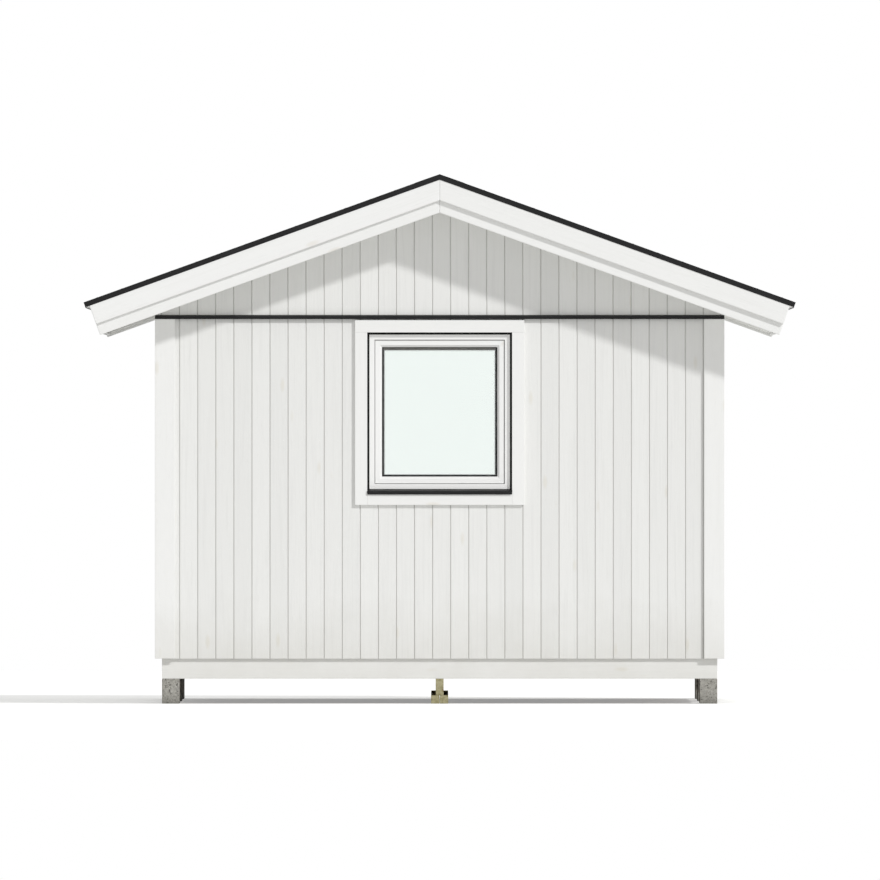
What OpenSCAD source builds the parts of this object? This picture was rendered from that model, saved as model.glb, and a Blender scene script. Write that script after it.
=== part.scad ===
// Timber guest cabin: one room on block plinths under a pitched felt roof.
// Millimetres. +Z is up, the front gable faces -Y and the entrance side faces -X.
// The origin lies on the ground under the middle of the cabin.

/* [Body] */
// Width over the corner boards
body_w = 3240; // [2900:20:4000]
// Length over the corner boards
body_l = 4600; // [4300:20:6000]
// Pitch of the roof, in degrees
pitch = 19.8; // [15:0.1:22]
// Wall between the roof and the trim board over the door, which raises the ridge
roof_gap = 1; // [1:1:291]

/* [Plinth and floor] */
// Underside of the floor frame above the ground
floor_z = 142; // [120:1:200]
// Width of a block plinth
block_w = 100; // [80:5:200]
// Length of a block plinth
block_l = 590; // [300:10:800]
// Depth of a floor joist or rim beam
joist_h = 120; // [95:5:170]
// Thickness of joists, rim beams and the middle bearer
joist_w = 45; // [36:1:60]
// Depth of the middle bearer
bearer_h = 95; // [70:1:110]
// Width of one of the two sleepers under the bearer
sleeper_w = 48; // [40:1:60]
// Length of a sleeper
sleeper_l = 300; // [200:10:500]
// Thickness of the floor boards
deck_t = 22; // [18:1:30]

/* [Walls] */
// Wall frame with its inner lining
wall_t = 107; // [80:1:140]
// Thickness of the outer cladding
clad_t = 20; // [16:1:28]
// Lower edge of the cladding below the top of the floor frame
clad_drop = 6; // [0:1:40]
// Drip strip below the roof, at the face of a side wall
strip_drop = 25; // [20:1:30]
// Thickness of the drip strip
strip_t = 12; // [6:1:20]
// Thickness of all trim boards
trim_t = 20; // [16:1:28]
// Width of a corner board on the gable
corner_w = 115; // [95:5:145]
// Width of a corner board on a side wall
side_corner_w = 95; // [70:5:120]

/* [Windows] */
// Width of a window frame
window_w = 800; // [600:10:1200]
// Height of a window frame
window_h = 880; // [600:10:920]
// Cladding between the drip strip and the trim board over a window
window_drop = 18; // [12:1:80]
// Depth of a window frame
window_d = 100; // [80:1:105]
// Face width of a frame member
frame_face = 30; // [24:1:50]
// Face width of a sash member
sash_face = 40; // [30:1:60]
// Thickness of a sash
sash_t = 40; // [30:1:50]
// Thickness of one pane
pane_t = 4; // [3:1:6]
// Width of the boards around windows and door
trim_w = 70; // [50:5:95]
// Open joint between a frame and its trim boards
trim_reveal = 12; // [5:1:20]
// Window on the entrance side, from its middle towards the front
left_window_u = -1000; // [-1100:10:-900]
// Window on the far side, from its middle towards the back
right_window_u = 0; // [-500:10:500]

/* [Door] */
// Width of the door frame
door_w = 880; // [780:10:980]
// Height of the door frame, which sets the height of the walls
door_h = 1880; // [1700:10:2100]
// Middle of the door, from the middle of its wall towards the front
door_u = 700; // [500:10:900]
// Face width of a jamb
jamb_face = 40; // [35:1:60]
// Depth of the door frame
jamb_d = 92; // [80:1:95]
// Thickness of the door leaf
leaf_t = 42; // [38:1:45]
// Clear joint around the leaf
leaf_gap = 5; // [4:0.5:7]
// Height of the threshold
threshold_h = 25; // [20:1:35]
// Height of the lever handle above the floor frame
handle_h = 1004; // [888:1:1138]
// Reach of the lever from its spindle
lever_l = 125; // [100:5:140]

/* [Roof] */
// Gable cladding to the outer face of the inner barge board
verge_out = 285; // [200:5:400]
// Corner boards to the ends of the barge boards, level
eave_out = 380; // [300:5:825]
// Roofing past the ends of the barge boards
eave_drip = 25; // [15:1:40]
// Thickness of the roofing felt
felt_t = 6; // [4:1:10]
// Thickness of the roof boards
roof_board_t = 22; // [18:1:28]
// Rafters with soffit or ceiling boards
panel_t = 160; // [140:5:200]
// Thickness of barge and fascia boards
barge_t = 22; // [18:1:28]
// Depth of the outer barge board below the flashing
outer_barge_h = 110; // [95:5:130]
// Depth of the inner barge board below the outer one
inner_barge_h = 66; // [50:1:80]
// Depth of the edge flashing
flashing_h = 30; // [20:1:40]
// Thickness of the edge flashing
flashing_t = 2; // [1:0.5:3]
// Width of the flashing on the roof
flashing_w = 100; // [60:5:150]
// Width of the ridge cap on each slope
ridge_cap_w = 150; // [100:10:250]

/* [Hidden] */

$fn = 48;
over = 1; // cutters run this far past the face they cut
seat = 0.1; // joint between two faces that meet on the slope
joist_spacing = 600; // most from one floor joist to the next

paint = "#f2f2ee";
timber = "#d9c39a";
concrete = "#a9a9a4";
black_metal = "#26282a";
steel = "#b4b4b0";

// Wall frame, outside faces
core_x = body_w / 2 - trim_t - clad_t;
core_y = body_l / 2 - trim_t - clad_t;
clad_x = core_x + clad_t;
clad_y = core_y + clad_t;
wall_z = floor_z + joist_h;
clad_z = wall_z - clad_drop;

// Heights that follow from the door
door_top = wall_z + door_h;
door_trim_top = door_top + trim_reveal;
eave_z = door_trim_top + trim_w + roof_gap;
strip_z = eave_z - strip_drop;
handle_z = wall_z + handle_h;

// Roof layers, as depths square to the slope below the top of the flashing
felt_d = flashing_t + seat;
board_d = felt_d + felt_t + seat;
panel_d = board_d + roof_board_t + seat;
soffit_d = panel_d + panel_t;
wall_d = soffit_d + seat;
ridge_z = eave_z + body_w / 2 * tan(pitch) + wall_d / cos(pitch);
outer_barge_d = flashing_h + outer_barge_h;
inner_barge_d = outer_barge_d + inner_barge_h;
fascia_below = 6; // fascia board below the soffit
fascia_d = soffit_d + fascia_below;
inner_barge_y = clad_y + verge_out - barge_t;
outer_barge_y = inner_barge_y + barge_t;
verge_y = outer_barge_y + barge_t;
slope_l = (body_w / 2 + eave_out) / cos(pitch);
roof_l = slope_l + eave_drip;
sheet_l = roof_l - flashing_t - seat;
fascia_back = 3; // fascia board in from the ends of the barge boards
panel_l = slope_l - barge_t - fascia_back;

// Openings for windows and door
sill_t = 20;
window_trim_top = strip_z - window_drop - trim_w;
window_top = window_trim_top - trim_reveal;
window_z = window_top - window_h;
window_trim_z = window_z - sill_t;

// Windows: [turn of the wall, its outer face from the middle, place along it]
windows = [
    [0, core_y, 0],
    [180, core_y, 0],
    [-90, core_x, left_window_u],
    [90, core_x, right_window_u]
];

// Window frame: set back from the cladding face, with the sash against a stop
sash_inset = 8; // sash face behind the frame's face
stop_w = 17; // width of the stop
first_pane = 14; // outer pane behind the sash face
pane_step = 14; // from one pane to the next
frame_y = -clad_t / 2;
sash_y = frame_y + sash_inset;
sash_gap = 3;
stop_y = sash_y + sash_t;
stop_face = frame_face + stop_w;
pane_y = [sash_y + first_pane, sash_y + first_pane + pane_step];

// Door leaf: its outer face and its hinge axis, from the wall frame's outer face
door_stop_w = 15;
leaf_rise = 1; // extra clearance over the threshold
hinge_inset = 200; // middle of a hinge from the end of the leaf
leaf_y = 8;
leaf_w = door_w - 2 * jamb_face - 2 * leaf_gap;
leaf_z = wall_z + threshold_h + leaf_gap + leaf_rise;
leaf_top = door_top - jamb_face - leaf_gap;
door_stop_y = leaf_y + leaf_t + leaf_gap;
door_stop_face = jamb_face + door_stop_w;
latch_bevel = 2;
hinge_u = door_u - leaf_w / 2 - leaf_gap / 2;
hinge_out = 10;
hinge_y = leaf_y - hinge_out;
knuckle_r = 8;
knuckle_h = 48;
pin_r = 5;
pin_short = 4; // pin shorter than the knuckle over it
bore_short = 3; // bore shorter than its knuckle
pin_play = 0.05;
hinge_plate_t = 2.5;
hinge_plate_w = 30;
hinge_z = [leaf_z + hinge_inset, (leaf_z + leaf_top) / 2, leaf_top - hinge_inset];

// Lever handle
backset = 60; // spindle from the latch edge
handle_u = door_u + leaf_w / 2 - backset;
plate_t = 8;
plate_w = 40;
plate_h = 220;
plate_above = 60; // top of the plate over the spindle
neck_r = 9;
neck_play = 0.06;
lever_out = 34;
lever_t = 14;
lever_h = 22;
spindle_hole_r = 12;

// Depth d square to the slope, at the distance x from the middle
function roof_z(x, d) = ridge_z - abs(x) * tan(pitch) - d / cos(pitch);
// Point at the slope length s and the depth d
function on_slope(s, d) = [s * cos(pitch) - d * sin(pitch), ridge_z - s * sin(pitch) - d * cos(pitch)];

// A shape drawn in X and Z, run from y0 to y1
module along_y(y0, y1) {
    translate([0, y1, 0]) rotate([90, 0, 0]) linear_extrude(height = y1 - y0) children();
}

// A box from its lowest corner to its highest
module box(low, high) {
    translate(low) cube(high - low);
}

// A wall's own frame: x runs right as seen from outside, y = 0 is the wall frame's outer face
module at_wall(turn, face) {
    rotate([0, 0, turn]) translate([0, -face, 0]) children();
}

// The right side as drawn, and the left as its mirror image
module on_side(side) {
    if (side == "left") mirror([1, 0, 0]) children();
    else children();
}

// One roof layer from the ridge down the right slope
module slope_layer(d0, d1, s1, y0, y1) {
    along_y(y0, y1) polygon([
        [0, roof_z(0, d0)], on_slope(s1, d0), on_slope(s1, d1), [0, roof_z(0, d1)]
    ]);
}

// A strip square to the slope, from s0 to s1, on the right slope
module slope_strip(d0, d1, s0, s1, y0, y1) {
    along_y(y0, y1) polygon([
        on_slope(s0, d0), on_slope(s1, d0), on_slope(s1, d1), on_slope(s0, d1)
    ]);
}

// A piece at the front and its copy at the back, turned half a turn
module both_gables() {
    children();
    rotate([0, 0, 180]) children();
}

/* Plinth and floor */

module plinth_blocks() {
    color(concrete)
    for (x = [-core_x, core_x - block_w], y = [-core_y, -block_l / 2, core_y - block_l])
        box([x, y, 0], [x + block_w, y + block_l, floor_z]);
}

module middle_bearer() {
    color(timber)
    box([-joist_w / 2, -core_y, floor_z - bearer_h], [joist_w / 2, core_y, floor_z]);
}

module bearer_sleepers() {
    joint = 2; // open joint between the two sleepers
    ends = core_y - sleeper_l / 2;
    color(timber)
    for (y = [-ends, -ends / 3, ends / 3, ends], x = [-joint / 2 - sleeper_w, joint / 2])
        box([x, y - sleeper_l / 2, 0], [x + sleeper_w, y + sleeper_l / 2, floor_z - bearer_h]);
}

module floor_rim_ends() {
    color(paint)
    both_gables()
        box([-core_x, -core_y, floor_z], [core_x, -core_y + joist_w, wall_z]);
}

module floor_rim_sides() {
    color(paint)
    for (x = [-core_x, core_x - joist_w])
        box([x, -core_y + joist_w, floor_z], [x + joist_w, core_y - joist_w, wall_z]);
}

module floor_joists() {
    bays = ceil(2 * core_y / joist_spacing);
    step = (2 * core_y - joist_w) / bays;
    color(timber)
    for (i = [1 : bays - 1]) {
        y = -core_y + i * step;
        box([-core_x + joist_w, y, floor_z], [core_x - joist_w, y + joist_w, wall_z]);
    }
}

module floor_boards() {
    color(timber)
    box([wall_t - core_x, wall_t - core_y, wall_z], [core_x - wall_t, core_y - wall_t, wall_z + deck_t]);
}

/* Walls */

// The hole that a window frame fills
module window_hole(turn, face, u) {
    at_wall(turn, face)
        box([u - window_w / 2, -over, window_z], [u + window_w / 2, wall_t + over, window_top]);
}

// The wider hole in the cladding, which ends at the trim boards
module window_cladding_hole(turn, face, u) {
    half = window_w / 2 + trim_reveal;
    at_wall(turn, face)
        box([u - half, -clad_t - over, window_trim_z], [u + half, over, window_trim_top]);
}

// A gable wall, up to the underside of the roof panels
module gable_wall(w) {
    color(timber)
    difference() {
        rotate([0, 0, w[0]]) along_y(-core_y, wall_t - core_y) polygon([
            [-core_x, wall_z], [core_x, wall_z], [core_x, roof_z(core_x, wall_d)],
            [0, roof_z(0, wall_d)], [-core_x, roof_z(core_x, wall_d)]
        ]);
        window_hole(w[0], w[1], w[2]);
    }
}

module front_wall() { gable_wall(windows[0]); }
module back_wall() { gable_wall(windows[1]); }

// A side wall on the right, from y0 to y1, with its top cut to the slope
module side_wall(y0, y1, x0, x1, z0) {
    along_y(y0, y1) polygon([
        [x0, z0], [x1, z0], [x1, roof_z(x1, wall_d)], [x0, roof_z(x0, wall_d)]
    ]);
}

module right_wall() {
    w = windows[3];
    color(timber)
    difference() {
        side_wall(wall_t - core_y, core_y - wall_t, core_x - wall_t, core_x, wall_z);
        window_hole(w[0], w[1], w[2]);
    }
}

// The wall on both sides of the doorway
module left_wall() {
    w = windows[2];
    color(timber)
    difference() {
        on_side("left") {
            side_wall(wall_t - core_y, -door_u - door_w / 2, core_x - wall_t, core_x, wall_z);
            side_wall(-door_u + door_w / 2, core_y - wall_t, core_x - wall_t, core_x, wall_z);
        }
        window_hole(w[0], w[1], w[2]);
    }
}

module left_wall_over_door() {
    color(timber)
    on_side("left")
        side_wall(-door_u - door_w / 2, -door_u + door_w / 2, core_x - wall_t, core_x, door_top);
}

/* Cladding and corner boards */

// Cladding of a gable: the wall below the drip strip and the gable above it
module gable_cladding(w) {
    color(paint)
    difference() {
        rotate([0, 0, w[0]]) along_y(-clad_y, -core_y) {
            polygon([[-clad_x, clad_z], [clad_x, clad_z], [clad_x, strip_z], [-clad_x, strip_z]]);
            polygon([
                [-clad_x, strip_z + strip_t], [clad_x, strip_z + strip_t],
                [clad_x, roof_z(clad_x, wall_d)], [0, roof_z(0, wall_d)],
                [-clad_x, roof_z(clad_x, wall_d)]
            ]);
        }
        window_cladding_hole(w[0], w[1], w[2]);
    }
}

module front_cladding() { gable_cladding(windows[0]); }
module back_cladding() { gable_cladding(windows[1]); }

module right_cladding() {
    w = windows[3];
    color(paint)
    difference() {
        side_wall(-core_y, core_y, core_x, clad_x, clad_z);
        window_cladding_hole(w[0], w[1], w[2]);
    }
}

module left_cladding() {
    w = windows[2];
    half = door_w / 2 + trim_reveal;
    color(paint)
    difference() {
        on_side("left") side_wall(-core_y, core_y, core_x, clad_x, clad_z);
        window_cladding_hole(w[0], w[1], w[2]);
        at_wall(-90, core_x)
            box([door_u - half, -clad_t - over, clad_z - over], [door_u + half, over, door_trim_top]);
    }
}

module gable_corner_boards() {
    color(paint)
    both_gables()
        for (x = [-body_w / 2, body_w / 2 - corner_w])
            box([x, -body_l / 2, clad_z], [x + corner_w, -clad_y, strip_z]);
}

module side_corner_boards() {
    color(paint)
    for (side = ["left", "right"]) on_side(side)
        for (y = [-clad_y, clad_y - side_corner_w])
            side_wall(y, y + side_corner_w, clad_x, body_w / 2, clad_z);
}

// A strip with a fall and a drip lip, which runs on over the gable's corner boards
module gable_drip_strips() {
    lip_clear = 3; // face of the lip past the corner boards
    lip_y = body_l / 2 + lip_clear;
    lip_t = 2;
    lip_h = 12; // how far the lip hangs over the corner boards
    color(black_metal)
    both_gables() difference() {
        translate([-body_w / 2, 0, 0]) rotate([90, 0, 90]) linear_extrude(height = body_w) polygon([
            [-core_y, strip_z], [-lip_y + lip_t, strip_z], [-lip_y + lip_t, strip_z - lip_h],
            [-lip_y, strip_z - lip_h], [-lip_y, strip_z + strip_t / 2], [-clad_y, strip_z + strip_t],
            [-core_y, strip_z + strip_t]
        ]);
        for (x = [-body_w / 2 - over, clad_x])
            box([x, -clad_y, strip_z - over], [x + trim_t + over, over - core_y, strip_z + strip_t + over]);
    }
}

/* Windows */

// Every window, in its own wall's frame with its middle at x = 0
module each_window() {
    for (w = windows) at_wall(w[0], w[1]) translate([w[2], 0, 0]) children();
}

module window_frames() {
    opening = window_w / 2 - frame_face;
    stop = window_w / 2 - stop_face;
    color(paint)
    each_window() difference() {
        box([-window_w / 2, frame_y, window_z], [window_w / 2, frame_y + window_d, window_top]);
        box([-opening, frame_y - over, window_z + frame_face], [opening, stop_y, window_top - frame_face]);
        box([-stop, frame_y - over, window_z + stop_face], [stop, window_d, window_top - stop_face]);
    }
}

module window_sashes() {
    out = window_w / 2 - frame_face - sash_gap;
    low = window_z + frame_face + sash_gap;
    high = window_top - frame_face - sash_gap;
    color(paint)
    each_window() difference() {
        box([-out, sash_y, low], [out, stop_y, high]);
        box([sash_face - out, sash_y - over, low + sash_face], [out - sash_face, stop_y + over, high - sash_face]);
    }
}

module window_glass() {
    side = frame_face + sash_gap + sash_face;
    half = window_w / 2 - side;
    color("lightblue", 0.4)
    each_window() for (y = pane_y)
        box([-half, y, window_z + side], [half, y + pane_t, window_top - side]);
}

// Sheet metal sill with a fall and a drip lip over the lower trim board
module window_sills() {
    half = window_w / 2 + trim_reveal;
    lip_clear = 9; // face of the lip past the trim board
    lip_y = clad_t + trim_t + lip_clear;
    lip_t = 2;
    lip_h = 10;
    fall = 9;
    frame_joint = 1; // joint under the window frame
    color(black_metal)
    each_window() translate([-half, 0, 0]) rotate([90, 0, 90]) linear_extrude(height = 2 * half) polygon([
        [0, window_trim_z], [lip_t - lip_y, window_trim_z], [lip_t - lip_y, window_trim_z - lip_h],
        [-lip_y, window_trim_z - lip_h], [-lip_y, window_z - frame_joint - fall], [0, window_z - frame_joint]
    ]);
}

/* Trim boards around windows and door */

module upright_trim_boards() {
    window_half = window_w / 2 + trim_reveal;
    door_half = door_w / 2 + trim_reveal;
    color(paint) {
        each_window() for (x = [-window_half - trim_w, window_half])
            box([x, -clad_t - trim_t, window_trim_z - trim_w], [x + trim_w, -clad_t, window_trim_top]);
        at_wall(-90, core_x) translate([door_u, 0, 0]) for (x = [-door_half - trim_w, door_half])
            box([x, -clad_t - trim_t, clad_z], [x + trim_w, -clad_t, door_trim_top]);
    }
}

module level_trim_boards() {
    inner = window_w / 2 + trim_reveal;
    outer = inner + trim_w;
    door_outer = door_w / 2 + trim_reveal + trim_w;
    color(paint) {
        each_window() {
            box([-outer, -clad_t - trim_t, window_trim_top], [outer, -clad_t, window_trim_top + trim_w]);
            box([-inner, -clad_t - trim_t, window_trim_z - trim_w], [inner, -clad_t, window_trim_z]);
        }
        at_wall(-90, core_x) translate([door_u, 0, 0])
            box([-door_outer, -clad_t - trim_t, door_trim_top], [door_outer, -clad_t, door_trim_top + trim_w]);
    }
}

/* Door */

// Jambs and head with a rebate for the leaf, on a threshold
module door_frame() {
    opening = door_w / 2 - jamb_face;
    stop = door_w / 2 - door_stop_face;
    sill = wall_z + threshold_h;
    color(paint)
    at_wall(-90, core_x) translate([door_u, 0, 0]) difference() {
        box([-door_w / 2, leaf_y, wall_z], [door_w / 2, leaf_y + jamb_d, door_top]);
        box([-opening, leaf_y - over, sill], [opening, door_stop_y, door_top - jamb_face]);
        box([-stop, leaf_y - over, sill], [stop, leaf_y + jamb_d + over, door_top - door_stop_face]);
    }
}

// Leaf with a bevelled latch edge and a hole for the spindle
module door_leaf() {
    color(paint)
    at_wall(-90, core_x) difference() {
        translate([door_u, leaf_y, leaf_z]) linear_extrude(height = leaf_top - leaf_z) polygon([
            [-leaf_w / 2, 0], [leaf_w / 2, 0], [leaf_w / 2 - latch_bevel, leaf_t], [-leaf_w / 2, leaf_t]
        ]);
        translate([handle_u, leaf_y - over, handle_z]) rotate([-90, 0, 0])
            cylinder(r = spindle_hole_r, h = leaf_t + 2 * over);
    }
}

// A long plate on each face of the leaf, with a bore that carries the lever's neck
module door_lock_plates() {
    color(steel)
    at_wall(-90, core_x) for (y = [leaf_y - plate_t, leaf_y + leaf_t]) difference() {
        translate([handle_u - plate_w / 2, y, handle_z + plate_above - plate_h]) cube([plate_w, plate_t, plate_h]);
        translate([handle_u, y - over, handle_z]) rotate([-90, 0, 0])
            cylinder(r = neck_r + neck_play, h = plate_t + 2 * over);
    }
}

// Both levers on one spindle, pointing towards the hinges
module door_handle() {
    outside = leaf_y - plate_t - lever_out;
    inside = leaf_y + leaf_t + plate_t + lever_out;
    color(steel)
    at_wall(-90, core_x) translate([handle_u, 0, handle_z]) {
        translate([0, outside - lever_t / 2, 0]) rotate([-90, 0, 0])
            cylinder(r = neck_r, h = inside - outside + lever_t);
        for (y = [outside - lever_t, inside])
            translate([0, y, 0]) rotate([-90, 0, 0]) linear_extrude(height = lever_t) union() {
                circle(r = lever_h / 2);
                translate([-lever_l + lever_h / 2, -lever_h / 2]) square([lever_l - lever_h / 2, lever_h]);
                translate([-lever_l + lever_h / 2, 0]) circle(r = lever_h / 2);
            }
    }
}

// Places one hinge's parts at each hinge height, with the axis at x = 0 and y = 0
module each_hinge() {
    at_wall(-90, core_x) for (z = hinge_z) translate([hinge_u, hinge_y, z]) children();
}

// Lower knuckle with its pin and its plate on the jamb
module door_hinge_pins() {
    color(steel)
    each_hinge() union() {
        translate([0, 0, -knuckle_h]) cylinder(r = knuckle_r, h = knuckle_h);
        cylinder(r = pin_r, h = knuckle_h - pin_short);
        box([-knuckle_r, 0, -knuckle_h], [0, hinge_out - hinge_plate_t, 0]);
        box([-hinge_plate_w, hinge_out - hinge_plate_t, -knuckle_h], [0, hinge_out, 0]);
    }
}

// Upper knuckle with a blind bore over the pin and its plate on the leaf
module door_hinge_sleeves() {
    rise = 0.5; // clear of the lower knuckle
    web = leaf_gap / 2;
    color(steel)
    each_hinge() difference() {
        union() {
            translate([0, 0, rise]) cylinder(r = knuckle_r, h = knuckle_h);
            box([web, 0, rise], [knuckle_r, hinge_out - hinge_plate_t, rise + knuckle_h]);
            box([web, hinge_out - hinge_plate_t, rise], [hinge_plate_w, hinge_out, rise + knuckle_h]);
        }
        cylinder(r = pin_r + pin_play, h = knuckle_h - bore_short);
    }
}

/* Roof */

module roof_panel(side) {
    color(timber) on_side(side)
        slope_layer(panel_d, soffit_d, panel_l, -inner_barge_y, inner_barge_y);
}

module roof_boards(side) {
    color(timber) on_side(side)
        slope_layer(board_d, panel_d - seat, sheet_l, -inner_barge_y, inner_barge_y);
}

module roofing(side) {
    color("#303234") on_side(side)
        slope_layer(felt_d, board_d - seat, sheet_l, -verge_y, verge_y);
}

module ridge_cap() {
    reach = verge_y + flashing_t - flashing_w;
    top = on_slope(ridge_cap_w, 0);
    low = on_slope(ridge_cap_w, flashing_t);
    color("#303234")
    along_y(-reach, reach) polygon([
        [0, ridge_z], top, low, [0, roof_z(0, flashing_t)], [-low[0], low[1]], [-top[0], top[1]]
    ]);
}

// Sheet metal along both verges and the eave of one slope, folded down over their edges
module edge_flashing(side) {
    outer = verge_y + flashing_t;
    inner = outer - flashing_w;
    eave_w = 40; // flashing on the roof along the eave
    past_boards = 4; // how far the folded edge may run past the roof boards
    drop = panel_d + past_boards;
    fold = roof_l - flashing_t;
    color(black_metal) on_side(side) difference() {
        slope_layer(0, drop, roof_l, -outer, outer);
        slope_strip(flashing_t, drop + over, -over, fold, -verge_y, verge_y);
        slope_strip(-over, drop + over, -over, roof_l - eave_w, -inner, inner);
        slope_strip(flashing_h, drop + over, -over, fold, -outer - over, outer + over);
    }
}

module fascia_boards() {
    color(paint)
    for (side = ["left", "right"]) on_side(side)
        slope_strip(panel_d, fascia_d, panel_l + seat, panel_l + seat + barge_t, -inner_barge_y, inner_barge_y);
}

// A barge board at each gable, mitred at the ridge and cut square at the eave
module barge(side, depth, y0) {
    color(paint) on_side(side) front_and_back()
        slope_layer(board_d, depth, slope_l, -y0 - barge_t, -y0);
}

// A piece at the front and its mirror image at the back, both on the same slope
module front_and_back() {
    children();
    mirror([0, 1, 0]) children();
}

plinth_blocks();
middle_bearer();
bearer_sleepers();
floor_rim_ends();
floor_rim_sides();
floor_joists();
floor_boards();
front_wall();
back_wall();
right_wall();
left_wall();
left_wall_over_door();
front_cladding();
back_cladding();
right_cladding();
left_cladding();
gable_corner_boards();
side_corner_boards();
gable_drip_strips();
window_frames();
window_sashes();
window_glass();
window_sills();
upright_trim_boards();
level_trim_boards();
door_frame();
door_leaf();
door_lock_plates();
door_handle();
door_hinge_pins();
door_hinge_sleeves();
roof_panel("left");  // roof_panel_left
roof_panel("right");  // roof_panel_right
roof_boards("left");  // roof_boards_left
roof_boards("right");  // roof_boards_right
roofing("left");  // roofing_left
roofing("right");  // roofing_right
ridge_cap();
edge_flashing("left");  // edge_flashing_left
edge_flashing("right");  // edge_flashing_right
fascia_boards();
barge("left", inner_barge_d, inner_barge_y);  // inner_barge_left
barge("right", inner_barge_d, inner_barge_y);  // inner_barge_right
barge("left", outer_barge_d, outer_barge_y);  // outer_barge_left
barge("right", outer_barge_d, outer_barge_y);  // outer_barge_right
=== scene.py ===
"""Looks of a white boarded guest cabin: boards, felt shingles, glazing, seals, fittings and finishes."""
import math
import bmesh
import bpy
import numpy as np
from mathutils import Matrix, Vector


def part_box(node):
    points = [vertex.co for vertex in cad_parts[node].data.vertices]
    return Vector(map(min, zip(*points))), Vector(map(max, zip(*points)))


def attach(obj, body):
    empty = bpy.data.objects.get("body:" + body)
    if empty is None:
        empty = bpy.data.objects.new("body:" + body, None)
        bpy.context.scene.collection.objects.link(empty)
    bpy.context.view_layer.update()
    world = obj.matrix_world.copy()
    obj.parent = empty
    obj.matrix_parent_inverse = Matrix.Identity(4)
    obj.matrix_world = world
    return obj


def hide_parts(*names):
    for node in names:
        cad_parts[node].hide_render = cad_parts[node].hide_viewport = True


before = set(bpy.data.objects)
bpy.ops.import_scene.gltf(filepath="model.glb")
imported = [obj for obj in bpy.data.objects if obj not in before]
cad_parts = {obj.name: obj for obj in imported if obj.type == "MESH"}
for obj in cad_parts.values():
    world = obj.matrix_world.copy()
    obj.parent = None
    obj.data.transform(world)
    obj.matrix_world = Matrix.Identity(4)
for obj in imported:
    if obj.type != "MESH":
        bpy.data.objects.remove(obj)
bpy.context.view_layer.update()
rng = np.random.default_rng(1907)

MM = 0.001
BOARD = 102.8 * MM      # cover width of a cladding board
FIRST_JOINT = 24.5 * MM # first joint past the inner edge of the left corner board
CLAD_V = 4.5 * MM       # depth and half width of the V between two cladding boards
LINING = 12 * MM        # boards on the inside of the walls
CEILING_BOARD = 95 * MM
FLOOR_BOARD = 120 * MM
LINING_BOARD = 120 * MM
AIR = 0.15 * MM         # wall boards end this far below the roof
OFFSETS = 40            # most that a board's grain is shifted, in metres
PAST_FLOOR = 1.0        # a door's hole runs this far down past the wall's foot
TAB = 333 * MM          # width of one shingle tab
COURSE = 143 * MM       # slope length of a shingle that shows
SHINGLE = 3.2 * MM


# ---------------------------------------------------------------- materials

def linear(hex_colour):
    """sRGB hex to linear RGBA."""
    parts = [int(hex_colour[i:i + 2], 16) / 255 for i in (1, 3, 5)]
    return [c / 12.92 if c <= 0.04045 else ((c + 0.055) / 1.055) ** 2.4 for c in parts] + [1.0]


def add(tree, kind, inputs=None, output=0, stops=(), **settings):
    """Adds a node with its settings and links, and returns one of its outputs.

    An input is set by name or number: a socket is linked, a hex value becomes a colour, and the rest are
    plain values. Stops are the (position, hex) pairs of a colour ramp.
    """
    made = tree.nodes.new("ShaderNode" + kind)
    for key, value in settings.items():
        setattr(made, key, value)
    for key, value in (inputs or {}).items():
        if isinstance(value, bpy.types.NodeSocket):
            tree.links.new(value, made.inputs[key])
        else:
            made.inputs[key].default_value = linear(value) if isinstance(value, str) else value
    for _ in stops[2:]:
        made.color_ramp.elements.new(0.5)
    for i, (position, colour) in enumerate(stops):
        made.color_ramp.elements[i].position = position
        made.color_ramp.elements[i].color = linear(colour)
    return made.outputs[output] if len(made.outputs) else made


def layered(tree, colour, *layers):
    """Lays colours over a base colour, one after the other.

    A layer is (value, low, high, strength, hex): it is absent where the value is low and reaches its
    strength where the value is high.
    """
    for value, low, high, strength, over in layers:
        share = {"Value": value, "From Min": low, "From Max": high, "To Max": strength}
        colour = add(tree, "Mix", {0: add(tree, "MapRange", share), 6: colour, 7: over}, 2, data_type="RGBA")
    return colour


def finish(name, metallic=0.0, ior=1.5, **sockets):
    """A new material with its Principled shader; sockets are set by their names with _ for a space."""
    made = bpy.data.materials.new(name)
    made.use_nodes = True
    shader = made.node_tree.nodes["Principled BSDF"]
    shader.inputs["Metallic"].default_value = metallic
    shader.inputs["IOR"].default_value = ior
    for key, value in sockets.items():
        shader.inputs[key.replace("_", " ")].default_value = value
    return made, made.node_tree, shader


def link(tree, shader, **sources):
    """Links sources to the shader's inputs, which are named with _ for a space."""
    for key, source in sources.items():
        tree.links.new(source, shader.inputs[key.replace("_", " ")])


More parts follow.
